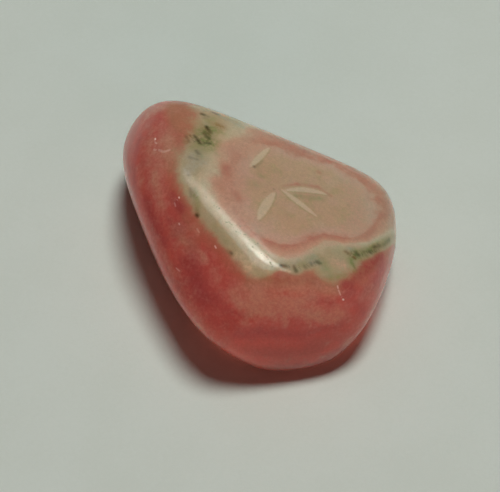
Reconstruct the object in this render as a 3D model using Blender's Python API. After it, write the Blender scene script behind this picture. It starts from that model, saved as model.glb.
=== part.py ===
"""Tumble-polished rhodochrosite stone: one solid pebble of banded rose mineral.

The stone is shaped the way tumbling shapes a broken lump. It starts as a set of
facets left by the break. Their edges are then worn round, least along the rim
of the broad, nearly flat top face. The top face and the underside are slightly
domed, and a small flat worn into the underside is what the stone rests on.
Frame: origin under the middle of the stone at the table, +Z up, +X along the
stone towards its broad end.
"""
import math

import bmesh
import bpy
import numpy as np
from mathutils import Vector

NAME = "rhodochrosite_stone"
MM = 0.001

# Facets: the heading a facet faces (degrees from +X towards +Y), its pitch above
# the horizon (degrees), and its distance from the middle of the stone (mm).
TOP_FACE = (72.0, 75.0, 7.0)
NEAR_FLANK = (270.0, 57.0, 8.5)
NEAR_SHOULDER = (328.0, 20.0, 8.5)
BROAD_END = (27.0, 13.0, 9.9)
FAR_SHOULDER = (56.0, 5.0, 10.8)
FAR_BEVEL = (109.0, 35.0, 10.1)
FAR_FLANK = (118.0, -5.0, 10.5)
NOSE_TIP = (208.0, 18.0, 15.8)
NOSE_BROW = (209.0, 55.0, 12.7)
NOSE_CHEEK = (247.0, -10.0, 8.3)
UNDER_NEAR = (268.0, -33.0, 6.6)
UNDER_SHOULDER = (323.0, -33.0, 8.5)
UNDER_BROAD_END = (22.0, -31.0, 7.8)
UNDER_FAR = (119.0, -40.0, 8.0)
UNDER_NOSE = (188.0, -52.0, 10.0)
UNDERSIDE = (347.0, -89.0, 2.9)

# How far the top face and the underside would reach sideways as full domes (mm):
# a larger number is flatter.
TOP_DOME_REACH = 38.0
UNDERSIDE_DOME_REACH = 20.0

# Wear: a larger number leaves a crisper edge.
EDGE_CRISPNESS = 10.0
RIM_CRISPNESS = 18.0

FOOT_DEPTH = 0.1 * MM                  # how deep the resting flat is worn
BALL_STEPS = 5                         # subdivisions of the starting ball
BALL_MIDDLE = (-1.0, 0.0, 2.5)         # middle of the starting ball (mm)
BALL_REACH = (13.0, 10.0, 5.4)         # half sizes of the starting ball (mm)

ROSE = (0.42, 0.055, 0.045, 1.0)

EDGE_FACETS = (
    NEAR_FLANK, NEAR_SHOULDER, BROAD_END, FAR_SHOULDER, FAR_BEVEL, FAR_FLANK,
    NOSE_TIP, NOSE_BROW, NOSE_CHEEK,
    UNDER_NEAR, UNDER_SHOULDER, UNDER_BROAD_END, UNDER_FAR, UNDER_NOSE,
)


def facing(facet):
    """Unit vector a facet faces."""
    a, e = math.radians(facet[0]), math.radians(facet[1])
    return np.array([math.cos(e) * math.cos(a), math.cos(e) * math.sin(a), math.sin(e)])


def flat_share(rays, facet):
    """Share of the way to a flat facet, per mm along each unit ray."""
    return np.maximum(rays @ facing(facet), 0.0) / facet[2]


def domed_share(rays, facet, reach):
    """The same for a facet that bulges like the cap of a wide ellipsoid."""
    along = rays @ facing(facet)
    across = np.sqrt(np.maximum(1.0 - along ** 2, 0.0)) / reach
    return np.hypot(np.maximum(along, 0.0) / facet[2], across)


def worn_radius(rays):
    """Distance from the middle to the worn surface along each unit ray (mm)."""
    shares = [flat_share(rays, facet) for facet in EDGE_FACETS]
    shares.append(domed_share(rays, UNDERSIDE, UNDERSIDE_DOME_REACH))
    body = sum(share ** EDGE_CRISPNESS for share in shares) ** (1.0 / EDGE_CRISPNESS)
    top = domed_share(rays, TOP_FACE, TOP_DOME_REACH)
    return (body ** RIM_CRISPNESS + top ** RIM_CRISPNESS) ** (-1.0 / RIM_CRISPNESS)


def shape_stone(bm):
    """Squash the ball to the stone's proportions, then move it out to the surface."""
    ball = np.array([vert.co[:] for vert in bm.verts])
    ball = ball * np.array(BALL_REACH) + np.array(BALL_MIDDLE)
    rays = ball / np.linalg.norm(ball, axis=1, keepdims=True)
    surface = rays * worn_radius(rays)[:, None] * MM
    for vert, place in zip(bm.verts, surface):
        vert.co = Vector(place)


def wear_foot(bm):
    """Cut the resting flat and close it with one face."""
    lowest = min(vert.co.z for vert in bm.verts)
    cut = bmesh.ops.bisect_plane(
        bm,
        geom=list(bm.verts) + list(bm.edges) + list(bm.faces),
        plane_co=(0.0, 0.0, lowest + FOOT_DEPTH),
        plane_no=(0.0, 0.0, -1.0),
        clear_outer=True,
    )
    bmesh.ops.remove_doubles(bm, verts=list(bm.verts), dist=0.02 * MM)
    rim = [edge for edge in bm.edges if edge.is_boundary]
    bmesh.ops.contextual_create(bm, geom=rim)


def move_origin_under_middle(bm):
    """Put the origin at the middle of the bounding box's bottom."""
    xs = [vert.co.x for vert in bm.verts]
    ys = [vert.co.y for vert in bm.verts]
    zs = [vert.co.z for vert in bm.verts]
    shift = Vector((-(min(xs) + max(xs)) / 2, -(min(ys) + max(ys)) / 2, -min(zs)))
    bmesh.ops.translate(bm, verts=list(bm.verts), vec=shift)


def stone_material():
    mat = bpy.data.materials.new("rose_stone")
    mat.use_nodes = True
    shader = mat.node_tree.nodes["Principled BSDF"]
    shader.inputs["Base Color"].default_value = ROSE
    shader.inputs["Roughness"].default_value = 0.15
    shader.inputs["Metallic"].default_value = 0.0
    return mat


for old in list(bpy.data.objects):
    bpy.data.objects.remove(old, do_unlink=True)

bm = bmesh.new()
bmesh.ops.create_icosphere(bm, subdivisions=BALL_STEPS, radius=1.0)
shape_stone(bm)
wear_foot(bm)
move_origin_under_middle(bm)
bmesh.ops.triangulate(bm, faces=[face for face in bm.faces if len(face.verts) > 3])
bmesh.ops.recalc_face_normals(bm, faces=list(bm.faces))
for face in bm.faces:
    face.smooth = True

mesh = bpy.data.meshes.new(NAME)
bm.to_mesh(mesh)
bm.free()
mesh.materials.append(stone_material())

stone = bpy.data.objects.new(NAME, mesh)
group = bpy.data.collections.new(NAME)
bpy.context.scene.collection.children.link(group)
group.objects.link(stone)
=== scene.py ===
"""A tumble-polished rhodochrosite stone lying on a pale table.

Lengths are in millimetres where a name ends in _MM and in metres elsewhere.
Places on the stone are given as (across, down) in the camera's own view, which
is 500 by 492, and land on whatever part of the stone is seen there.
"""

import math

import bmesh
import bpy
import numpy as np
from mathutils import Matrix, Vector
from mathutils.bvhtree import BVHTree


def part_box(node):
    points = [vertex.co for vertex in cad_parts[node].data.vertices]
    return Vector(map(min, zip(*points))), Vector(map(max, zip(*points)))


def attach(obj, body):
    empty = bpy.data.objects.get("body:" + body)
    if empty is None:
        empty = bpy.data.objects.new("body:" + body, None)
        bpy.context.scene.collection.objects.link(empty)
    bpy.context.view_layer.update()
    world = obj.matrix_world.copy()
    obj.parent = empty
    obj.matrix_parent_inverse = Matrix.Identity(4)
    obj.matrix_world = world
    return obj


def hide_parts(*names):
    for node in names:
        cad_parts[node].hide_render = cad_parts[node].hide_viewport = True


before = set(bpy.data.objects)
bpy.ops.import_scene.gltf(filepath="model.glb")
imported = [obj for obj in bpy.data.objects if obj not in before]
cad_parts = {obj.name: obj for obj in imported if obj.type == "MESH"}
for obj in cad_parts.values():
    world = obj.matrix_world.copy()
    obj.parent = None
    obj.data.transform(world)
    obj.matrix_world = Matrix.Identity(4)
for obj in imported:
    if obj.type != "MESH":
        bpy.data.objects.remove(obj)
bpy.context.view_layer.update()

# ---------------------------------------------------------------------------
# Camera: a long lens close by, looking steeply down on the stone from beside
# its broad end. It is made first because the markings are placed through it.
# ---------------------------------------------------------------------------

MM = 0.001

VIEW_SIZE = (500, 492)
CAMERA_HEADING = math.radians(47.0)
CAMERA_PITCH = math.radians(55.0)
CAMERA_DISTANCE_MM = 138.9
CAMERA_AIM_MM = (1.04, -0.75, 2.82)
LENS_MM = 125.0
SENSOR_MM = 36.0

view_back = np.array([
    math.sin(CAMERA_HEADING) * math.cos(CAMERA_PITCH),
    -math.cos(CAMERA_HEADING) * math.cos(CAMERA_PITCH),
    math.sin(CAMERA_PITCH),
])
view_right = np.array([math.cos(CAMERA_HEADING), math.sin(CAMERA_HEADING), 0.0])
view_up = np.cross(view_back, view_right)
eye = (np.array(CAMERA_AIM_MM) + CAMERA_DISTANCE_MM * view_back) * MM

camera_data = bpy.data.cameras.new("camera")
camera_data.lens = LENS_MM
camera_data.sensor_width = SENSOR_MM
camera_data.clip_start = 0.01
camera_data.clip_end = 10.0
camera = bpy.data.objects.new("camera", camera_data)
camera.location = eye
camera.rotation_mode = "QUATERNION"
camera.rotation_quaternion = Vector(-view_back).to_track_quat("-Z", "Y")
bpy.context.scene.collection.objects.link(camera)
bpy.context.scene.camera = camera


def sight_line(place):
    """Direction from the eye through a place in the view."""
    across = (place[0] - VIEW_SIZE[0] / 2) / VIEW_SIZE[0] * SENSOR_MM
    down = (place[1] - VIEW_SIZE[1] / 2) / VIEW_SIZE[0] * SENSOR_MM
    ray = across * view_right - down * view_up - LENS_MM * view_back
    return ray / np.linalg.norm(ray)


# ---------------------------------------------------------------------------
# The stone: one solid piece of rhodochrosite, broken from a vein and tumbled
# with grit until its facets are smooth and its edges round.
# ---------------------------------------------------------------------------

NODE = "rhodochrosite_stone"

# Facets: the heading a facet faces (degrees from +X towards +Y), its pitch above
# the horizon (degrees), and its distance from the heart of the stone (mm).
TOP_FACE = (72.0, 75.0, 7.0)
UNDERSIDE = (347.0, -89.0, 2.9)
EDGE_FACETS = (
    (270.0, 57.0, 8.5),     # near flank
    (328.0, 20.0, 8.5),     # near shoulder
    (27.0, 13.0, 9.9),      # broad end
    (56.0, 5.0, 10.8),      # far shoulder
    (109.0, 35.0, 10.1),    # far bevel
    (118.0, -5.0, 10.5),    # far flank
    (208.0, 18.0, 15.8),    # nose tip
    (209.0, 55.0, 12.7),    # nose brow
    (247.0, -10.0, 8.3),    # nose cheek
    (268.0, -33.0, 6.6),    # under the near flank
    (323.0, -33.0, 8.5),    # under the near shoulder
    (22.0, -31.0, 7.8),     # under the broad end
    (119.0, -40.0, 8.0),    # under the far flank
    (188.0, -52.0, 10.0),   # under the nose
)
# A longer reach makes a flatter dome, and more crispness a sharper edge.
TOP_DOME_REACH_MM = 38.0
UNDERSIDE_DOME_REACH_MM = 20.0
EDGE_CRISPNESS = 10.0
RIM_CRISPNESS = 18.0            # where the top face meets the rest
FOOT_DEPTH_MM = 0.1             # worn off the underside, as a flat to rest on

# A cube's grid is blown up to a squashed ball about as long, wide and high as the
# stone, so that the faces come out much the same size all over it.
CUBE_HALVINGS = 7
BALL_MIDDLE_MM = (-1.0, 0.0, 2.5)
BALL_REACH_MM = (13.0, 10.0, 5.4)


def facing(facet):
    """Unit vector a facet faces."""
    heading, pitch = math.radians(facet[0]), math.radians(facet[1])
    level = math.cos(pitch)
    return np.array([level * math.cos(heading), level * math.sin(heading), math.sin(pitch)])


def domed_share(rays, facet, reach):
    """Share of the way to a gently domed facet, per mm along each ray."""
    along = rays @ facing(facet)
    across = np.sqrt(np.maximum(1.0 - along ** 2, 0.0)) / reach
    return np.hypot(np.maximum(along, 0.0) / facet[2], across)


def worn_radius(rays):
    """Distance from the heart to the worn surface along each unit ray (mm)."""
    shares = [np.maximum(rays @ facing(facet), 0.0) / facet[2] for facet in EDGE_FACETS]
    shares.append(domed_share(rays, UNDERSIDE, UNDERSIDE_DOME_REACH_MM))
    body = sum(share ** EDGE_CRISPNESS for share in shares) ** (1.0 / EDGE_CRISPNESS)
    top = domed_share(rays, TOP_FACE, TOP_DOME_REACH_MM)
    return (body ** RIM_CRISPNESS + top ** RIM_CRISPNESS) ** (-1.0 / RIM_CRISPNESS)


def rounded_cube():
    """A cube's grid of square faces, as a new mesh."""
    bm = bmesh.new()
    bmesh.ops.create_cube(bm, size=2.0)
    for _ in range(CUBE_HALVINGS):
        bmesh.ops.subdivide_edges(bm, edges=list(bm.edges), cuts=1, use_grid_fill=True)
    mesh = bpy.data.meshes.new(NODE + "_polished")
    bm.to_mesh(mesh)
    bm.free()
    return mesh


def worn_points(cube):
    """Points of the worn surface around the heart, for the points of a cube's grid (mm)."""
    ball = np.tan(cube * math.pi / 4)
    ball = ball / np.linalg.norm(ball, axis=1, keepdims=True)
    ball = ball * np.array(BALL_REACH_MM) + np.array(BALL_MIDDLE_MM)
    rays = ball / np.linalg.norm(ball, axis=1, keepdims=True)
    worn = rays * worn_radius(rays)[:, None]
    worn[:, 2] = np.maximum(worn[:, 2], worn[:, 2].min() + FOOT_DEPTH_MM)
    return worn


stone_mesh = rounded_cube()
cube_points = np.zeros(len(stone_mesh.vertices) * 3)
stone_mesh.vertices.foreach_get("co", cube_points)
worn = worn_points(cube_points.reshape(-1, 3))

# The heart sits where the worn surface fills the frame's box, resting on its floor.
box_low, box_high = (np.array(corner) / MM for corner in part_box(NODE))
heart = (box_low + box_high) / 2 - (worn.min(axis=0) + worn.max(axis=0)) / 2
heart[2] = box_low[2] - worn[:, 2].min()
points = worn + heart
stone_mesh.vertices.foreach_set("co", (points * MM).ravel())
stone_mesh.shade_smooth()
stone_mesh.update()

stone = bpy.data.objects.new(NODE + "_polished", stone_mesh)
bpy.context.scene.collection.objects.link(stone)

faces = np.zeros(len(stone_mesh.loops), dtype=int)
stone_mesh.loops.foreach_get("vertex_index", faces)
surface = BVHTree.FromPolygons(points.tolist(), faces.reshape(-1, 4).tolist())


def on_stone(place):
    """Where the line of sight through a place in the view meets the stone (mm)."""
    hit = surface.ray_cast(Vector(eye / MM), Vector(sight_line(place)))[0]
    if hit is None:
        raise ValueError(f"no stone is seen at {place}")
    return np.array(hit)


def keep(name, values):
    """Keep one number for every point of the stone, for the finish to read."""
    layer = stone_mesh.attributes.new(name, "FLOAT", "POINT")
    layer.data.foreach_set("value", np.asarray(values, dtype=np.float32))


# ---------------------------------------------------------------------------
# Growth rings: the mineral grew outwards from a tan core. A pink rim, a cream
# and olive band and then clear rose follow each other around it.
# ---------------------------------------------------------------------------

CORE_MIDDLE = (300, 190)
RING_STEP = 0.5                 # degrees between a ring's sampled turns
RING_SOFTENING = 1.5            # degrees of turn that its corners are rounded over
ROSE_REACH = 20.0               # degrees of rose that count as one ring

CORE_EDGE = (
    (236, 178), (238, 165), (244, 152), (256, 145), (272, 146), (290, 153), (310, 159),
    (330, 165), (345, 172), (357, 181), (368, 191), (375, 202), (378, 212), (375, 222),
    (368, 230), (358, 236), (346, 238), (334, 235), (322, 233), (308, 239), (292, 244),
    (275, 242), (258, 236), (245, 222), (237, 205), (234, 190),
)
PINK_EDGE = (
    (391, 229), (385, 233), (376, 238), (368, 243), (358, 243), (345, 244), (335, 241),
    (325, 241), (318, 246), (308, 252), (296, 258), (283, 258), (270, 254), (255, 240),
    (206, 182), (212, 172), (216, 162), (218, 150), (225, 140), (240, 133), (250, 127),
)
# On the far side a ring is given as (turn around the core, lean from it) in degrees.
PINK_EDGE_FAR = ((50, 58), (65, 57), (80, 55), (95, 53), (110, 51), (130, 50), (150, 46))
CREAM_EDGE = (
    (393, 245), (390, 248), (381, 253), (372, 259), (362, 262), (358, 268), (352, 276),
    (342, 281), (331, 284), (323, 281), (317, 275), (310, 271), (303, 275), (295, 278),
    (288, 272), (278, 271), (270, 277), (262, 281), (252, 280), (243, 273), (235, 262),
    (225, 252), (215, 240), (205, 228), (195, 216), (188, 205), (180, 192), (176, 180),
    (175, 165), (177, 150), (182, 140), (190, 128), (193, 115), (190, 103),
)
CREAM_EDGE_FAR = ((60, 72), (75, 71), (90, 67), (105, 68), (120, 64), (135, 62), (150, 60), (165, 57))

core_axis = on_stone(CORE_MIDDLE) - heart
core_axis = core_axis / np.linalg.norm(core_axis)
turn_start = np.array([1.0, 0.0, 0.0]) - core_axis * core_axis[0]
turn_start = turn_start / np.linalg.norm(turn_start)
turn_quarter = np.cross(core_axis, turn_start)


def turn_and_lean(places):
    """Each place's turn around the core's axis and lean away from it, in degrees."""
    rays = np.atleast_2d(places) - heart
    rays = rays / np.linalg.norm(rays, axis=1, keepdims=True)
    turn = np.degrees(np.arctan2(rays @ turn_quarter, rays @ turn_start))
    lean = np.degrees(np.arccos(np.clip(rays @ core_axis, -1.0, 1.0)))
    return turn, lean


def ring(seen, far=()):
    """A closed ring's lean as a function of turn, from the places it passes."""
    turn, lean = turn_and_lean([on_stone(place) for place in seen])
    turn = np.append(turn, [place[0] for place in far])
    lean = np.append(lean, [place[1] for place in far])
    order = np.argsort(turn)
    turn, lean = turn[order], lean[order]
    grid = np.arange(-180.0, 180.0, RING_STEP)
    sampled = np.interp(grid, turn, lean, period=360.0)
    spread = np.arange(-3 * RING_SOFTENING, 3 * RING_SOFTENING + RING_STEP, RING_STEP)
    weights = np.exp(-0.5 * (spread / RING_SOFTENING) ** 2)
    half = len(weights) // 2
    wrapped = np.concatenate([sampled[-half:], sampled, sampled[:half]])
    softened = np.convolve(wrapped, weights / weights.sum(), mode="valid")
    return lambda at: np.interp(at, grid, softened, period=360.0)


core_edge = ring(CORE_EDGE)
pink_edge = ring(PINK_EDGE, PINK_EDGE_FAR)
cream_edge = ring(CREAM_EDGE, CREAM_EDGE_FAR)

# Growth runs from 0 to 1 in the core, 1 to 2 in the pink rim and 2 to 3 in the band,
# and on from 3 in the rose.
turn, lean = turn_and_lean(points)
core_lean, pink_lean, cream_lean = core_edge(turn), pink_edge(turn), cream_edge(turn)
growth = np.select(
    [lean < core_lean, lean < pink_lean, lean < cream_lean],
    [
        lean / core_lean,
        1.0 + (lean - core_lean) / (pink_lean - core_lean),
        2.0 + (lean - pink_lean) / (cream_lean - pink_lean),
    ],
    3.0 + (lean - cream_lean) / ROSE_REACH,
)
keep("growth", growth)

FAR_TURNS = (50.0, 165.0)       # degrees around the core that are its far side
FAR_FADE = 12.0                 # degrees

past_start = np.clip((turn - FAR_TURNS[0]) / FAR_FADE, 0.0, 1.0)
before_end = np.clip((FAR_TURNS[1] - turn) / FAR_FADE, 0.0, 1.0)
keep("far", past_start * before_end)

# ---------------------------------------------------------------------------
# Blades: four thin pale crystals sealed in the core and cut flush by the
# polishing, each with a darker olive side.
# ---------------------------------------------------------------------------

# Each blade: its two ends, its greatest width (mm) and how far it bows (mm).
BLADES = (
    ((249.5, 167.5), (269.5, 147.5), 0.50, 0.0),
    ((258, 220.5), (275, 192), 0.74, 0.08),
    ((281, 189), (317, 216.5), 0.46, 0.0),
    ((284, 190.5), (327, 194.5), 0.50, 0.27),
)
BLADE_BLUNTNESS = 0.7           # below 1 the blade keeps its width nearer to its ends
BLADE_REACH = 3.0               # half lengths from its middle where a blade is looked for
NO_BLADE_MM = -2.0              # depth kept where there is no blade


def flat_frame(start, end):
    """Middle, half length and directions along and across a line on the surface."""
    start, end = on_stone(start), on_stone(end)
    along = (end - start) / np.linalg.norm(end - start)
    across = np.cross(facing(TOP_FACE), along)
    across = across / np.linalg.norm(across)
    return (start + end) / 2, np.linalg.norm(end - start) / 2, along, across


blade_depth = np.full(len(points), NO_BLADE_MM)
blade_side = np.zeros(len(points))
for start, end, width, bow in BLADES:
    middle, half_length, along, across = flat_frame(start, end)
    offset = points - middle
    at = offset @ along / half_length
    side = offset @ across - bow * (1.0 - at ** 2)
    profile = width / 2 * np.maximum(1.0 - at ** 2, 0.0) ** BLADE_BLUNTNESS
    past_end = np.maximum(np.abs(at) - 1.0, 0.0) * half_length
    depth = profile - np.hypot(side, past_end)
    depth[np.linalg.norm(offset, axis=1) > BLADE_REACH * half_length] = NO_BLADE_MM
    nearer = depth > blade_depth
    blade_depth = np.where(nearer, depth, blade_depth)
    blade_side = np.where(nearer, side, blade_side)
keep("blade", blade_depth)
keep("blade_side", blade_side)

# ---------------------------------------------------------------------------
# Stains: other minerals and fluids that soaked in as the stone grew, as soft
# smears in the band, the core and the rose. Some smears are painted light instead:
# the red low on the front, a paler rim along the outline (painted reflection) and
# one thin painted highlight. The deep and brown smears just under the band on the
# front make the rose there darker.
# ---------------------------------------------------------------------------

# Each smear: its two ends, its reach in steps of the view and its strength.
HAZE_SMEARS = (
    ((200, 131), (213, 128), 9, 0.50), ((204, 140), (214, 142), 9, 0.50),
    ((206, 147), (200, 155), 8, 0.30), ((218, 131), (224, 134), 6, 0.30),
    ((213, 118), (208, 120), 6, 0.35), ((193, 147), (195, 143), 6, 0.35),
    ((210, 147), (216, 154), 6, 0.28), ((250, 184), (262, 186), 7, 0.18),
    ((352, 258), (356, 252), 7, 0.50), ((362, 256), (372, 249), 7, 0.45),
    ((376, 246), (389, 241), 6, 0.38), ((351, 263), (354, 270), 5, 0.40),
    ((331, 278), (345, 276), 4, 0.40), ((318, 272), (328, 275), 6, 0.25),
    ((300, 265), (312, 258), 6, 0.30), ((320, 260), (326, 268), 5, 0.35),
    ((256, 273), (262, 276), 5, 0.25), ((195, 190), (199, 206), 5, 0.40),
    ((214, 226), (226, 242), 5, 0.30), ((258, 168), (262, 176), 5, 0.30),
    ((282, 208), (288, 214), 6, 0.20), ((296, 196), (322, 199), 5, 0.38),
    ((302, 204), (322, 218), 8, 0.12), ((268, 212), (312, 229), 9, 0.10),
    ((246, 178), (254, 184), 7, 0.12), ((322, 262), (334, 268), 8, 0.14),
    ((285, 233), (318, 231), 6, 0.10),
)
OLIVE_SMEARS = (
    ((203, 131), (210, 137), 5.0, 0.50), ((195, 137), (201, 144), 4.0, 0.50),
    ((206, 127), (210, 131), 4.0, 0.40), ((208, 143), (211, 144), 2.5, 0.45),
    ((202, 114), (204, 115), 3.0, 0.45), ((197, 210), (199, 215), 3.0, 0.38),
    ((193, 190), (195, 197), 3.5, 0.35), ((353, 255), (359, 255), 4.5, 0.50),
    ((364, 253), (372, 250), 4.0, 0.38), ((372, 250), (379, 247), 4.0, 0.25),
    ((384, 245), (389, 240), 4.5, 0.32), ((352, 262), (355, 269), 2.5, 0.35),
    ((281, 266), (286, 266), 3.0, 0.40), ((294, 269), (297, 271), 3.0, 0.40),
    ((304, 265), (307, 267), 3.0, 0.35), ((316, 262), (320, 263), 3.0, 0.40),
    ((255, 166), (262, 161), 2.5, 0.40), ((228, 251), (232, 255), 3.0, 0.30),
    ((319, 255), (322, 258), 3.0, 0.28), ((309, 264), (312, 265), 2.5, 0.30),
)
GREY_SMEARS = (
    ((197, 152), (190, 157), 7, 0.50), ((197, 163), (190, 168), 8, 0.55),
    ((204, 157), (206, 163), 6, 0.30), ((186, 172), (186, 182), 4, 0.35),
    ((215, 113), (218, 114), 4, 0.60), ((207, 124), (210, 128), 4, 0.50),
    ((311, 262), (319, 261), 5, 0.70), ((294, 261), (306, 259), 6, 0.40),
    ((282, 262), (290, 267), 5, 0.40), ((322, 268), (325, 269), 4, 0.45),
    ((349, 249), (352, 250), 4, 0.55), ((217, 230), (223, 237), 4, 0.35),
    ((313, 255), (315, 257), 4, 0.40), ((224, 118), (244, 128), 3, 0.40),
)
BROWN_SMEARS = (
    ((217, 125), (223, 128), 4.5, 0.60), ((189, 136), (186, 142), 4.5, 0.55),
    ((198, 121), (201, 125), 5, 0.30), ((193, 107), (200, 112), 6, 0.30),
    ((194, 203), (197, 214), 3, 0.42), ((346, 252), (350, 254), 3, 0.45),
    ((354, 257), (355, 258), 2, 0.70), ((278, 282), (312, 281), 7, 0.28),
    ((350, 280), (362, 270), 7, 0.22), ((366, 267), (381, 257), 6, 0.20),
    ((274, 189), (274, 189), 1.3, 0.70), ((264, 192), (265, 192), 1.2, 0.40),
    ((262, 194), (273, 190), 1.2, 0.25), ((348, 205), (349, 206), 1.5, 0.40),
    ((264, 277), (270, 280), 4, 0.30),
)
PINK_SMEARS = (
    ((226, 168), (225, 173), 6, 0.95), ((216, 183), (222, 190), 5, 0.40),
    ((235, 193), (239, 200), 5, 0.60), ((254, 141), (255, 142), 3, 0.50),
    ((250, 130), (289, 141), 5, 0.35), ((231, 150), (238, 158), 6, 0.30),
    ((318, 172), (320, 173), 3, 0.50), ((283, 186), (298, 184), 2.0, 0.50),
    ((298, 184), (318, 187), 2.6, 0.55), ((318, 187), (331, 196), 2.2, 0.50),
    ((339, 168), (354, 176), 5, 0.65), ((291, 151), (301, 154), 4, 0.50),
    ((376, 214), (380, 222), 5, 0.15), ((374, 228), (366, 238), 4, 0.55),
    ((343, 240), (326, 237), 3.5, 0.50), ((319, 236), (313, 239), 3.5, 0.55),
    ((264, 244), (283, 248), 5, 0.45), ((240, 224), (250, 236), 4, 0.40),
    ((336, 212), (350, 221), 9, 0.18),
)
LILAC_SMEARS = (
    ((247, 205), (250, 214), 7, 0.75), ((243, 172), (259, 178), 6, 0.50),
    ((259, 236), (304, 240), 4, 0.55), ((372, 206), (370, 219), 4, 0.50),
    ((240, 160), (246, 166), 6, 0.40), ((287, 257), (311, 252), 3.5, 0.60),
    ((325, 244), (336, 244), 4, 0.50), ((346, 245), (358, 246), 4, 0.50),
    ((327, 176), (336, 184), 7, 0.30), ((334, 262), (343, 264), 7, 0.50),
)
VEIL_SMEARS = (
    ((228, 150), (252, 146), 15, 0.85), ((236, 168), (240, 214), 11, 0.75),
    ((226, 185), (236, 205), 7, 0.50), ((352, 190), (362, 222), 14, 0.70),
    ((344, 228), (354, 232), 9, 0.50),
)
PALE_AND_HIGHLIGHT_SMEARS = (
    ((222, 150), (224, 158), 6, 0.30), ((193, 106), (200, 111), 6, 0.40),
    ((211, 166), (219, 172), 7, 0.80), ((200, 178), (208, 186), 5, 0.50),
    ((227, 136), (246, 132), 8, 0.40), ((238, 256), (250, 262), 7, 0.45),
    # The thin line from (279, 268.5) to (290, 271.5) is a painted highlight along the ridge; the
    # other pale smears are paler cream.
    ((246, 268), (256, 276), 5, 0.35), ((279, 268.5), (290, 271.5), 1.8, 0.75),
    ((290, 208), (322, 225), 8, 0.20), ((318, 200), (334, 182), 6, 0.25),
)
# Milky clouds in the rose. The long smears that hug the outline, from (149, 224) to (199, 322) and
# from (345, 343) to (382, 280), paint a paler rim: painted reflection of the table along the edge.
MILKY_CLOUDS_AND_RIM_REFLECTION = (
    ((151, 142), (157, 168), 12, 0.45), ((138, 168), (141, 182), 5, 0.30),
    ((168, 140), (170, 157), 8, 0.60), ((155, 178), (162, 206), 8, 0.50),
    ((150, 112), (162, 108), 7, 0.50), ((176, 228), (196, 258), 8, 0.35),
    ((202, 254), (203, 255), 4, 0.50), ((213, 272), (217, 279), 6, 0.40),
    ((196, 226), (198, 232), 4, 0.30), ((238, 296), (262, 302), 14, 0.50),
    ((262, 302), (298, 305), 16, 0.60), ((300, 292), (334, 292), 11, 0.42),
    ((145, 120), (151, 134), 8, 0.14), ((158, 126), (170, 132), 8, 0.26),
    ((298, 308), (304, 310), 8, 0.35), ((246, 312), (250, 315), 7, 0.40),
    ((266, 312), (274, 316), 7, 0.40), ((284, 316), (285, 325), 4, 0.40),
    ((312, 315), (338, 313), 10, 0.62), ((316, 318), (322, 321), 6, 0.35),
    ((258, 288), (300, 286), 10, 0.35), ((198, 325), (222, 346), 7, 0.25),
    ((205, 256), (207, 260), 3.5, 0.35), ((345, 343), (371, 312), 5, 0.30),
    ((371, 312), (382, 280), 6, 0.30), ((362, 296), (370, 288), 7, 0.30),
    ((149, 224), (199, 322), 9, 0.22),
)
# Deeper rose. The places just under the band on the front make the rose there darker.
DEEP_PLACES = (
    ((139, 140), (135, 180), 6, 0.50), ((146, 200), (164, 242), 8, 0.60),
    ((170, 222), (176, 236), 5, 0.40), ((190, 262), (205, 300), 12, 0.80),
    ((212, 320), (250, 335), 10, 0.50), ((262, 332), (300, 335), 8, 0.50),
    ((310, 332), (345, 322), 7, 0.40), ((346, 284), (352, 292), 6, 0.55),
    ((372, 262), (380, 256), 4, 0.40), ((173, 196), (180, 210), 6, 0.60),
    ((366, 292), (382, 268), 10, 0.60), ((178, 280), (186, 296), 8, 0.40),
    ((312, 296), (332, 303), 7, 0.50), ((276, 281), (312, 282), 8, 0.45),
    ((350, 284), (363, 269), 8, 0.60), ((366, 267), (381, 256), 7, 0.65),
    ((343, 290), (364, 313), 8, 0.45), ((216, 300), (232, 316), 8, 0.50),
    ((180, 228), (191, 246), 6, 0.35), ((192, 284), (196, 298), 7, 0.30),
    ((148, 214), (156, 232), 6, 0.25),
)
# Redder rose. Low on the front it is painted light: light that comes down through the stone and
# leaves it there. The two places along the left edge of the nose are redder rose.
RED_AND_LIT_THROUGH_PLACES = (
    ((228, 350), (262, 362), 9, 0.70), ((262, 362), (310, 360), 9, 0.80),
    ((310, 360), (336, 345), 8, 0.50), ((240, 340), (300, 346), 10, 0.40),
    ((136, 150), (139, 182), 6, 0.40), ((142, 122), (136, 140), 7, 0.30),
    ((284, 336), (320, 332), 9, 0.35),
)
ORANGE_PLACES = (
    ((172, 106), (184, 124), 12, 0.75), ((168, 140), (172, 168), 6, 0.40),
    ((290, 282), (345, 285), 9, 0.60), ((366, 270), (378, 262), 6, 0.45),
    ((250, 286), (280, 284), 6, 0.50), ((176, 230), (192, 246), 8, 0.60),
    ((336, 286), (350, 278), 5, 0.50), ((362, 282), (376, 288), 8, 0.35),
    ((178, 206), (190, 228), 4, 0.30),
)
REACH_TO_SPREAD = 0.7           # a smear's fall-off, as a share of its reach
SHORTEST_RUN = 1e-9             # lets a smear or mark start and end in one place


def view_scale(place):
    """Millimetres that one step of the view covers on the stone at a place."""
    distance = np.linalg.norm(on_stone(place) - eye / MM)
    return distance * SENSOR_MM / LENS_MM / VIEW_SIZE[0]


def line_offset(start, end):
    """The way to every point from the straight line between two points (mm)."""
    run = end - start
    share = np.clip((points - start) @ run / max(run @ run, SHORTEST_RUN), 0.0, 1.0)
    return points - (start + share[:, None] * run)


def smeared(smears):
    """How strongly a group of smears shows at every point, from 0 to 1."""
    clear = np.ones(len(points))
    for start, end, reach, strength in smears:
        distance = np.linalg.norm(line_offset(on_stone(start), on_stone(end)), axis=1)
        spread = reach * view_scale(start) * REACH_TO_SPREAD
        clear *= 1.0 - strength * np.exp(-0.5 * (distance / spread) ** 2)
    return 1.0 - clear


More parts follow.
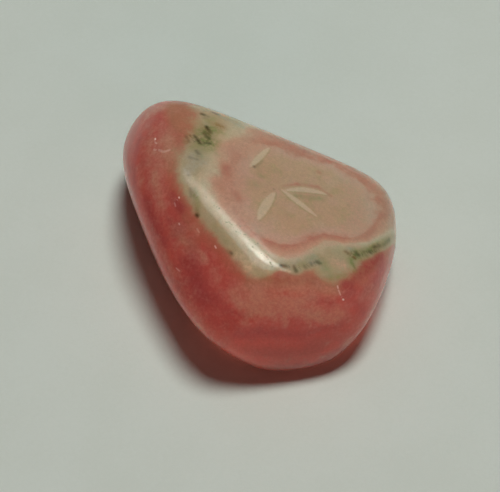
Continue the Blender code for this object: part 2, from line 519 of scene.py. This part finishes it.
for stain, smears in (
    ("haze", HAZE_SMEARS), ("olive", OLIVE_SMEARS), ("grey", GREY_SMEARS),
    ("brown", BROWN_SMEARS), ("pink", PINK_SMEARS), ("lilac", LILAC_SMEARS),
    ("veil", VEIL_SMEARS), ("pale", PALE_AND_HIGHLIGHT_SMEARS), ("cloud", MILKY_CLOUDS_AND_RIM_REFLECTION),
    ("deep", DEEP_PLACES), ("red", RED_AND_LIT_THROUGH_PLACES), ("orange", ORANGE_PLACES),
):
    keep(stain, smeared(smears))

# ---------------------------------------------------------------------------
# Ore specks: grains of dark sulphide, strewn along the cream band as it grew
# and cut flush by the polishing.
# ---------------------------------------------------------------------------

# Each mark: its two ends, its half width in steps of the view and its strength.
SPECKS = (
    ((206.5, 127), (208, 129), 1.9, 0.85), ((208.5, 130), (210, 132.5), 2.0, 0.50),
    ((194.3, 135.5), (197, 139), 1.2, 0.65), ((197, 139), (200, 143), 1.6, 0.75),
    ((204.5, 134), (207, 137), 2.3, 0.45), ((207.5, 137), (208.5, 138.5), 1.5, 0.70),
    ((207, 143), (209.5, 143.5), 1.5, 0.55), ((196.5, 151), (198.5, 153.5), 2.0, 0.42),
    ((189.5, 157), (191.5, 158), 1.5, 0.32), ((195.5, 159), (197.5, 159.5), 1.2, 0.32),
    ((202, 114), (203.5, 114.5), 2.0, 0.62), ((205, 115), (208, 116.5), 1.5, 0.35),
    ((203, 118), (207, 118.5), 0.9, 0.25), ((214, 112.5), (217, 114), 2.6, 0.38),
    ((186, 136), (187, 138.5), 1.3, 0.32), ((188.5, 140), (189.5, 142), 1.3, 0.28),
    ((188, 175), (189, 175.5), 0.9, 0.45), ((190, 189), (191, 196), 1.4, 0.28),
    ((196.5, 215), (197.5, 216), 1.6, 0.80), ((231, 252.5), (231.8, 253.5), 1.1, 0.60),
    ((281, 265.5), (282.8, 266), 1.5, 0.85), ((285, 265.5), (286.5, 266.5), 1.3, 0.60),
    ((294, 266.5), (296, 271.5), 1.7, 0.55), ((304.5, 266.5), (305.5, 268), 1.5, 0.38),
    ((311, 263), (311.5, 265), 1.7, 0.38), ((317.5, 262), (319, 263), 2.2, 0.52),
    ((346, 251.5), (348, 253.5), 1.5, 0.30), ((355.5, 252), (358.5, 255), 2.0, 0.52),
    ((353.5, 257.5), (355, 258.5), 1.2, 0.45), ((363.5, 251.5), (364, 252.5), 1.5, 0.30),
    ((369.5, 252), (371, 253), 1.8, 0.65), ((366.3, 255.3), (367, 255.8), 1.4, 0.35),
    ((374, 247.5), (375, 246.5), 1.9, 0.68), ((377, 246.5), (379, 245.5), 2.3, 0.50),
    ((378.3, 249.8), (378.8, 250), 1.2, 0.50), ((374.8, 250.8), (375.2, 251.3), 1.3, 0.55),
    ((387.5, 242), (389.5, 239.5), 2.4, 0.28), ((254, 166.5), (254.5, 167), 1.0, 0.75),
    ((383, 246), (385, 244), 2.0, 0.28),
)


def keep_marks(name, marks):
    """Keep, for every point, the way to its nearest mark, that mark's half width and strength."""
    gap = np.full(len(points), np.inf)
    offset = np.zeros((len(points), 3))
    size = np.zeros(len(points))
    strength = np.zeros(len(points))
    for start, end, half_width, mark_strength in marks:
        from_mark = line_offset(on_stone(start), on_stone(end))
        mark_size = half_width * view_scale(start)
        mark_gap = np.linalg.norm(from_mark, axis=1) - mark_size
        nearer = mark_gap < gap
        gap[nearer] = mark_gap[nearer]
        offset[nearer] = from_mark[nearer]
        size[nearer] = mark_size
        strength[nearer] = mark_strength
    keep(name + "_gap", gap)
    keep(name + "_size", size)
    keep(name + "_strength", strength)
    layer = stone_mesh.attributes.new(name + "_offset", "FLOAT_VECTOR", "POINT")
    layer.data.foreach_set("vector", offset.astype(np.float32).ravel())


keep_marks("speck", SPECKS)

# ---------------------------------------------------------------------------
# Polish marks: painted glints, bright specks and streaks of painted highlight where light
# flashes off cleavage and fine scratches in the rose, and the worn crest, where harder
# grains were plucked out and left pits.
# ---------------------------------------------------------------------------

# Painted highlight: each glint is a bright spot or short streak where light flashes off the polish.
PAINTED_GLINTS = (
    ((155.2, 138.5), (155.4, 139.3), 0.8, 1.00), ((155, 142), (156.5, 143.5), 0.9, 0.30),
    ((159, 150), (164, 152), 1.3, 0.22), ((164, 152), (169.5, 150), 1.2, 0.25),
    ((154, 149.5), (155, 150), 1.2, 0.20), ((179, 197.3), (179.3, 197.9), 0.7, 1.00),
    ((174.5, 203), (175.5, 206), 0.8, 0.22), ((343, 299.3), (343.5, 299.9), 0.8, 1.00),
    ((337.5, 286), (338, 288), 0.7, 0.55), ((338.5, 290), (340.5, 295), 0.6, 0.40),
    ((176, 268), (179.5, 271), 0.6, 0.28), ((215, 246), (216, 248), 0.7, 0.60),
    ((197, 229), (199, 232), 0.9, 0.20), ((179, 223.5), (179.5, 224.5), 0.7, 0.50),
)
# Pits along the crest. Their relief and roughness are real; their darker olive colour is painted
# shade.
PITS = (
    ((219, 208), (219.4, 208.4), 0.8, 0.55), ((226, 222), (226.4, 222.2), 0.8, 0.60),
    ((228.6, 221.8), (229, 222), 0.7, 0.50), ((231.2, 224.3), (231.8, 224.6), 0.7, 0.50),
    ((236, 231.5), (236.4, 232), 0.7, 0.50), ((243.5, 234.5), (246, 234.8), 0.6, 0.55),
    ((252.3, 246.5), (253, 247.4), 0.8, 0.60), ((257.5, 243.2), (258, 243.5), 0.7, 0.50),
    ((266.5, 256.5), (267.3, 257.4), 0.7, 0.60), ((270, 262.3), (270.6, 263), 0.9, 0.80),
    ((272, 266.4), (272.5, 266.8), 0.7, 0.60), ((206, 197), (206.4, 197.5), 0.7, 0.40),
    ((214, 205.5), (214.4, 206), 0.6, 0.40), ((240, 226), (240.5, 226.6), 0.7, 0.45),
    ((261, 253), (261.4, 253.5), 0.6, 0.50), ((249, 239.5), (249.5, 240), 0.6, 0.45),
)
CREST = (
    ((197, 185), (245, 242), 8, 1.0), ((245, 242), (280, 268), 6, 1.0),
)

keep_marks("painted_glint", PAINTED_GLINTS)
keep_marks("pit", PITS)
keep("crest", smeared(CREST))

# ---------------------------------------------------------------------------
# Finish of the stone: banded mineral that light enters and leaves again, softened.
# Tumbling with ever finer grit gave it a clear polish.
# ---------------------------------------------------------------------------

TAN = (0.69, 0.38, 0.255)
TAN_OLIVE = (0.61, 0.37, 0.22)
PINK_TAN = (0.74, 0.355, 0.26)
LILAC = (0.75, 0.385, 0.295)
PINK = (0.75, 0.355, 0.255)
PINK_DEEP = (0.62, 0.22, 0.16)
CREAM = (0.47, 0.36, 0.23)
CREAM_PALE = (0.72, 0.48, 0.34)
ROSE = (0.53, 0.104, 0.086)
ROSE_DEEP = (0.37, 0.067, 0.066)
ROSE_RED_AND_LIT_THROUGH = (0.80, 0.108, 0.085)
ROSE_MILKY = (0.57, 0.245, 0.18)
ROSE_ORANGE = (0.43, 0.17, 0.105)
HAZE = (0.205, 0.265, 0.092)
OLIVE = (0.098, 0.138, 0.041)
GREY = (0.45, 0.39, 0.31)
BROWN = (0.30, 0.18, 0.08)
ORE = (0.022, 0.024, 0.010)
BLADE_CREAM = (0.82, 0.53, 0.385)
BLADE_SHADE = (0.50, 0.32, 0.17)
PAINTED_GLINT = (0.95, 0.72, 0.66)

LAYERS_PER_RING = 3.2
GRAIN_STRENGTH = 0.24
POLISH_ROUGHNESS = (0.13, 0.20)
PIT_ROUGHNESS = 0.6
POLISH_RELIEF = 0.08
CREST_RELIEF = 0.30
PIT_RELIEF = -0.6
RELIEF_MM = 0.02
LIGHT_REACH_MM = 46.0                   # how far light wanders inside the stone
LIGHT_REACH_SHARES = (1.0, 0.4, 0.3)    # of that, for red, green and blue

MM_PER_METRE = 1000.0
# Each input of the mottle, and the noise input that it sets.
MOTTLE_INPUTS = {
    "Per mm": "Scale",
    "Detail": "Detail",
    "Roughness": "Roughness",
    "Warp": "Distortion",
}

# The mottle is a node group, since the table's paper has it too.
mottle_cloud = bpy.data.node_groups.new("mottle", "ShaderNodeTree")
nodes = mottle_cloud.nodes
links = mottle_cloud.links


def add(kind, **settings):
    """A new node in the finish or group being made."""
    node = nodes.new(kind)
    for name, value in settings.items():
        setattr(node, name, value)
    return node


def stored(name):
    """One of the numbers kept for every point of the stone."""
    return add("ShaderNodeAttribute", attribute_name=name, attribute_type="GEOMETRY").outputs["Fac"]


def plug(value, socket):
    """Join a socket to an input, or set a plain number or colour on it."""
    if isinstance(value, bpy.types.NodeSocket):
        links.new(value, socket)
    elif isinstance(value, tuple):
        socket.default_value = (*value, 1.0)
    else:
        socket.default_value = value


def sums(operation, first, second, third=0.0):
    """One of the Math node's operations, worked out at every point of the surface."""
    node = add("ShaderNodeMath", operation=operation)
    for value, socket in zip((first, second, third), node.inputs):
        plug(value, socket)
    return node.outputs[0]


def fade(value, low, high, start=0.0, end=1.0):
    """start where value is below low, end where it is above high, smooth between."""
    node = add("ShaderNodeMapRange", interpolation_type="SMOOTHSTEP")
    for item, socket in zip((value, low, high, start, end), node.inputs):
        plug(item, socket)
    return node.outputs[0]


def blend(share, first, second):
    """first where share is 0, second where it is 1."""
    node = add("ShaderNodeMix", data_type="RGBA")
    # Of the Mix node's sockets, 6 and 7 are its two colours in, and 2 its colour out.
    plug(share, node.inputs["Factor"])
    plug(first, node.inputs[6])
    plug(second, node.inputs[7])
    return node.outputs[2]


for mottle_input in MOTTLE_INPUTS:
    mottle_cloud.interface.new_socket(mottle_input, in_out="INPUT", socket_type="NodeSocketFloat")
mottle_cloud.interface.new_socket("Mottle", in_out="OUTPUT", socket_type="NodeSocketFloat")
given = add("NodeGroupInput")
place_mm = add("ShaderNodeVectorMath", operation="SCALE")
links.new(add("ShaderNodeTexCoord").outputs["Object"], place_mm.inputs[0])
place_mm.inputs["Scale"].default_value = MM_PER_METRE
cloud = add("ShaderNodeTexNoise", noise_dimensions="3D")
links.new(place_mm.outputs[0], cloud.inputs["Vector"])
for mottle_input, noise_input in MOTTLE_INPUTS.items():
    links.new(given.outputs[mottle_input], cloud.inputs[noise_input])
centred = sums("SUBTRACT", cloud.outputs["Fac"], 0.5)
links.new(centred, add("NodeGroupOutput").inputs["Mottle"])


def mottle(per_mm, detail=3.0, rough=0.55, warp=0.0):
    """Cloudy variation about 1/per_mm mm across, centred on zero."""
    node = add("ShaderNodeGroup", node_tree=mottle_cloud)
    for mottle_input, value in zip(MOTTLE_INPUTS, (per_mm, detail, rough, warp)):
        node.inputs[mottle_input].default_value = value
    return node.outputs["Mottle"]


finish = bpy.data.materials.new("rose_stone")
finish.use_nodes = True
nodes = finish.node_tree.nodes
links = finish.node_tree.links
nodes.clear()

broad = mottle(0.22, detail=2.0)
patchy = mottle(0.6, detail=3.0, warp=0.6)
mid = mottle(1.4, detail=3.0, rough=0.5, warp=0.4)
fine = mottle(4.0, detail=2.0, rough=0.5)
dust = mottle(9.0, detail=1.0)

grown = sums("MULTIPLY_ADD", patchy, 0.30, stored("growth"))
grown = sums("MULTIPLY_ADD", mid, 0.28, grown)
grown = sums("MULTIPLY_ADD", fine, 0.13, grown)


def smear(name, noise=1.5):
    """A kept smear broken up a little by the mottle, from 0 to 1."""
    uneven = sums("MULTIPLY_ADD", sums("ADD", mid, fine), noise, 1.0)
    return fade(sums("MULTIPLY", stored(name), uneven), 0.0, 1.0)


# Core: tan with olive drifts, paling to lilac just inside its edge.
core = blend(fade(sums("ADD", patchy, mid), -0.05, 0.25), TAN, TAN_OLIVE)
core = blend(fade(sums("SUBTRACT", mid, patchy), 0.0, 0.30, 0.0, 0.45), core, LILAC)
core = blend(fade(grown, 0.72, 0.95, 0.0, 0.9), core, LILAC)
# Pink rim, deepest against the core.
rim_depth = sums("MULTIPLY", fade(grown, 1.05, 1.75, 1.0, 0.1), fade(mid, -0.30, 0.15, 0.35, 1.0))
rim = blend(rim_depth, PINK, PINK_DEEP)
# Cream band, palest along its inner edge.
cream = blend(fade(grown, 1.95, 2.45, 1.0, 0.0), CREAM, CREAM_PALE)
cream = blend(fade(mid, 0.0, 0.3, 0.0, 0.4), cream, TAN_OLIVE)
# Rose, laid down in faint layers, milky in places and clear in others. The milky
# share also carries a painted reflection along the outline.
layers = add("ShaderNodeTexNoise", noise_dimensions="1D")
layers.inputs["Scale"].default_value = LAYERS_PER_RING
layers.inputs["Detail"].default_value = 2.0
links.new(sums("MULTIPLY_ADD", patchy, 0.5, stored("growth")), layers.inputs["W"])
layer_tone = sums("SUBTRACT", layers.outputs[0], 0.5)
milky_layers = sums("MULTIPLY_ADD", layer_tone, 0.3, patchy)
milky = sums("ADD", stored("cloud"), fade(milky_layers, 0.08, 0.35, 0.0, 0.4))
deep_layers = sums("MULTIPLY_ADD", layer_tone, -0.3, broad)
deep = sums("ADD", stored("deep"), fade(deep_layers, 0.05, 0.30, 0.0, 0.4))
orange = sums("ADD", stored("orange"), fade(grown, 3.0, 3.5, 0.6, 0.0))
# Painted light: a brighter red low on the front, where light comes down through the stone.
rose = blend(fade(sums("MULTIPLY_ADD", mid, 0.4, stored("red")), 0.0, 1.0), ROSE, ROSE_RED_AND_LIT_THROUGH)
rose = blend(fade(sums("MULTIPLY_ADD", mid, 0.4, orange), 0.0, 1.0), rose, ROSE_ORANGE)
rose = blend(fade(sums("MULTIPLY_ADD", mid, 0.5, deep), 0.0, 0.9), rose, ROSE_DEEP)
flecked = sums("MULTIPLY_ADD", mid, 0.9, sums("MULTIPLY_ADD", fine, 0.5, milky))
rose = blend(fade(flecked, -0.1, 0.95), rose, ROSE_MILKY)

colour = blend(fade(grown, 0.92, 1.12), core, rim)
colour = blend(fade(grown, 1.70, 2.15), colour, cream)
colour = blend(fade(grown, 2.74, 3.08), colour, rose)

# Smears, one over another.
colour = blend(smear("veil"), colour, PINK_TAN)
colour = blend(smear("pale"), colour, CREAM_PALE)
colour = blend(sums("MULTIPLY", smear("lilac"), 0.8), colour, LILAC)
colour = blend(sums("MULTIPLY", smear("pink"), 0.9), colour, PINK_DEEP)
colour = blend(smear("grey"), colour, GREY)
colour = blend(smear("haze"), colour, HAZE)
colour = blend(smear("olive", 1.0), colour, OLIVE)
colour = blend(smear("brown"), colour, BROWN)

# Stains and ore strewn along the far side of the band.
band_share = sums("MULTIPLY", fade(grown, 1.7, 2.1), fade(grown, 3.05, 2.75))
far_band = sums("MULTIPLY", band_share, stored("far"))
far_haze = fade(sums("ADD", patchy, mid), -0.02, 0.22, 0.0, 0.7)
colour = blend(sums("MULTIPLY", far_band, far_haze), colour, HAZE)
grit = mottle(2.4, detail=1.0, warp=0.8)
far_ore = sums("MULTIPLY", fade(sums("MULTIPLY_ADD", patchy, 0.25, grit), 0.14, 0.21), far_band)
colour = blend(far_ore, colour, ORE)

# Blades, with an olive shade along one side.
blade_edge = sums("MULTIPLY_ADD", fine, 0.05, stored("blade"))
shade_depth = fade(blade_edge, -0.22, 0.0)
shade_side = fade(stored("blade_side"), 0.0, -0.2)
shade_share = sums("MULTIPLY", sums("MULTIPLY", shade_depth, shade_side), 0.6)
colour = blend(shade_share, colour, BLADE_SHADE)
colour = blend(fade(blade_edge, -0.10, 0.10, 0.0, 0.9), colour, BLADE_CREAM)


def marked(name, edge, ragged=0.0):
    """How strongly the nearest kept mark shows, with an edge this soft and ragged (mm)."""
    offset = add("ShaderNodeAttribute", attribute_name=name + "_offset", attribute_type="GEOMETRY")
    length = add("ShaderNodeVectorMath", operation="LENGTH")
    links.new(offset.outputs["Vector"], length.inputs[0])
    depth = sums("SUBTRACT", stored(name + "_size"), length.outputs["Value"])
    depth = sums("MULTIPLY_ADD", fine, ragged, depth)
    # Halfway between two marks their kept numbers mix, so a mark shows only near itself.
    near = fade(stored(name + "_gap"), 0.15, 0.30, 1.0, 0.0)
    share = sums("MULTIPLY", fade(depth, -edge, edge), stored(name + "_strength"))
    return sums("MULTIPLY", share, near)


# Ore specks, painted glints of highlight, and pits, whose darkening is painted shade.
colour = blend(marked("speck", 0.16, 0.14), colour, ORE)
colour = blend(marked("painted_glint", 0.05), colour, PAINTED_GLINT)
pit_share = marked("pit", 0.04)
# Painted shade: the pits are darkened to olive.
colour = blend(pit_share, colour, OLIVE)

# Fine crystal grain over everything.
grain = add("ShaderNodeHueSaturation")
plug(colour, grain.inputs["Color"])
plug(sums("MULTIPLY_ADD", sums("ADD", fine, dust), GRAIN_STRENGTH, 1.0), grain.inputs["Value"])
colour = grain.outputs[0]

shader = add("ShaderNodeBsdfPrincipled")
links.new(colour, shader.inputs["Base Color"])
polish = fade(mid, -0.3, 0.3, *POLISH_ROUGHNESS)
plug(sums("MULTIPLY_ADD", pit_share, PIT_ROUGHNESS, polish), shader.inputs["Roughness"])
shader.inputs["IOR"].default_value = 1.55
shader.inputs["Specular IOR Level"].default_value = 0.36
shader.inputs["Subsurface Weight"].default_value = 1.0
shader.inputs["Subsurface Radius"].default_value = LIGHT_REACH_SHARES
shader.inputs["Subsurface Scale"].default_value = LIGHT_REACH_MM * MM

# Nearly flat polish, rougher and pitted along the crest.
relief = sums("MULTIPLY", dust, sums("MULTIPLY_ADD", stored("crest"), CREST_RELIEF, POLISH_RELIEF))
relief = sums("MULTIPLY_ADD", pit_share, PIT_RELIEF, relief)
bump = add("ShaderNodeBump")
bump.inputs["Strength"].default_value = 0.5
bump.inputs["Distance"].default_value = RELIEF_MM * MM
links.new(relief, bump.inputs["Height"])
links.new(bump.outputs[0], shader.inputs["Normal"])

output = add("ShaderNodeOutputMaterial")
links.new(shader.outputs[0], output.inputs[0])
stone_mesh.materials.append(finish)

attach(stone, "root")
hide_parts(NODE)

# ---------------------------------------------------------------------------
# Table: a wide sheet of matt off-white paper, faintly cloudy, with a felt of
# fine fibres. It is only the stage that the stone lies on.
# ---------------------------------------------------------------------------

TABLE_REACH = 1.5
PAPER = (0.78, 0.78, 0.72)
PAPER_SHADE = (0.755, 0.755, 0.69)
PAPER_ROUGHNESS = (0.84, 0.94)
FIBRE_RELIEF_MM = 0.03

bm = bmesh.new()
bmesh.ops.create_grid(bm, x_segments=1, y_segments=1, size=TABLE_REACH)
table_mesh = bpy.data.meshes.new("table")
bm.to_mesh(table_mesh)
bm.free()
table = bpy.data.objects.new("table", table_mesh)
bpy.context.scene.collection.objects.link(table)

paper = bpy.data.materials.new("paper")
paper.use_nodes = True
nodes = paper.node_tree.nodes
links = paper.node_tree.links
nodes.clear()

pulp = mottle(0.12, detail=2.0)
fibres = mottle(3.0, detail=3.0, rough=0.6, warp=1.2)
paper_tone = sums("MULTIPLY_ADD", fibres, 0.7, pulp)
paper_shader = add("ShaderNodeBsdfPrincipled")
plug(blend(fade(paper_tone, -0.25, 0.25), PAPER, PAPER_SHADE), paper_shader.inputs["Base Color"])
plug(fade(fibres, -0.3, 0.3, *PAPER_ROUGHNESS), paper_shader.inputs["Roughness"])
paper_shader.inputs["Specular IOR Level"].default_value = 0.2
felt = add("ShaderNodeBump")
felt.inputs["Strength"].default_value = 0.5
felt.inputs["Distance"].default_value = FIBRE_RELIEF_MM * MM
links.new(fibres, felt.inputs["Height"])
links.new(felt.outputs[0], paper_shader.inputs["Normal"])
links.new(paper_shader.outputs[0], add("ShaderNodeOutputMaterial").inputs[0])
table_mesh.materials.append(paper)

# ---------------------------------------------------------------------------
# Light: a high soft key gives the shade and shadow. The crest mirrors a broad
# panel, a brighter lamp and a dim pane. A red wall low in front and a pale
# backdrop low behind stand for the rest of the room.
# ---------------------------------------------------------------------------


def soft_light(name, heading, pitch, distance, size, power, colour, shows, shape="ELLIPSE", lean=0):
    """A flat light facing the stone, which shows only in its shade or only in its sheen.

    Heading, pitch and lean are in degrees. The lean turns its second size from +Y.
    """
    heading, pitch = math.radians(heading), math.radians(pitch)
    data = bpy.data.lights.new(name, "AREA")
    data.shape = shape
    data.size, data.size_y = size
    data.energy = power
    data.color = colour
    light = bpy.data.objects.new(name, data)
    out = np.array([
        math.cos(pitch) * math.cos(heading),
        math.cos(pitch) * math.sin(heading),
        math.sin(pitch),
    ])
    up = np.array([0.0, 1.0, 0.0]) - out * out[1]
    up = up / np.linalg.norm(up)
    lean = math.radians(lean)
    up = math.cos(lean) * up - math.sin(lean) * np.cross(up, out)
    turned = np.eye(4)
    turned[:3, 0] = np.cross(up, out)
    turned[:3, 1] = up
    turned[:3, 2] = out
    turned[:3, 3] = out * distance
    light.matrix_world = Matrix(turned.tolist())
    light.visible_diffuse = shows != "sheen"
    light.visible_glossy = shows != "shade"
    bpy.context.scene.collection.objects.link(light)


# Each light: its heading, pitch, distance, size, power and colour, then what shows it.
soft_light("key", 94, 79, 0.6, (0.17, 0.23), 2.31, (0.862, 0.97, 0.945), "shade")
soft_light("lamp", 150.8, 77.0, 0.6, (0.145, 0.277), 1.42, (0.95, 0.97, 0.86), "sheen", lean=-22)
soft_light("panel", 194, 73.6, 0.6, (0.323, 0.485), 1.75, (0.96, 0.97, 0.88), "sheen", lean=25)
soft_light("pane", 119, 58.7, 0.6, (0.11, 0.12), 0.15, (0.96, 0.97, 0.88), "sheen", "RECTANGLE")
soft_light("backdrop", 137, 12, 1.0, (0.4, 1.4), 0.25, (0.98, 0.95, 1.0), "sheen", "RECTANGLE")
soft_light("wall", 318, 9, 0.8, (0.4, 1.4), 2.3, (1.0, 0.38, 0.30), "shade", "RECTANGLE")

# Light that has come down through the stone reddens the table around its foot.
GLOW_PLACE_MM = (4.4, -0.2, 0.45)
GLOW_SPAN_MM = 15.2
GLOW_POWER = 1.6e-4
GLOW_COLOUR = (1.0, 0.22, 0.16)

glow_data = bpy.data.lights.new("glow", "AREA")
glow_data.shape = "DISK"
glow_data.size = GLOW_SPAN_MM * MM
glow_data.energy = GLOW_POWER
glow_data.color = GLOW_COLOUR
glow = bpy.data.objects.new("glow", glow_data)
glow.location = [value * MM for value in GLOW_PLACE_MM]
glow.visible_camera = False
glow.visible_glossy = False
bpy.context.scene.collection.objects.link(glow)

ROOM_LIGHT = 0.017

room = bpy.data.worlds.new("room")
room.use_nodes = True
room.node_tree.nodes["Background"].inputs["Color"].default_value = (1.0, 1.0, 1.0, 1.0)
room.node_tree.nodes["Background"].inputs["Strength"].default_value = ROOM_LIGHT
bpy.context.scene.world = room
bpy.context.scene.view_settings.view_transform = "Standard"
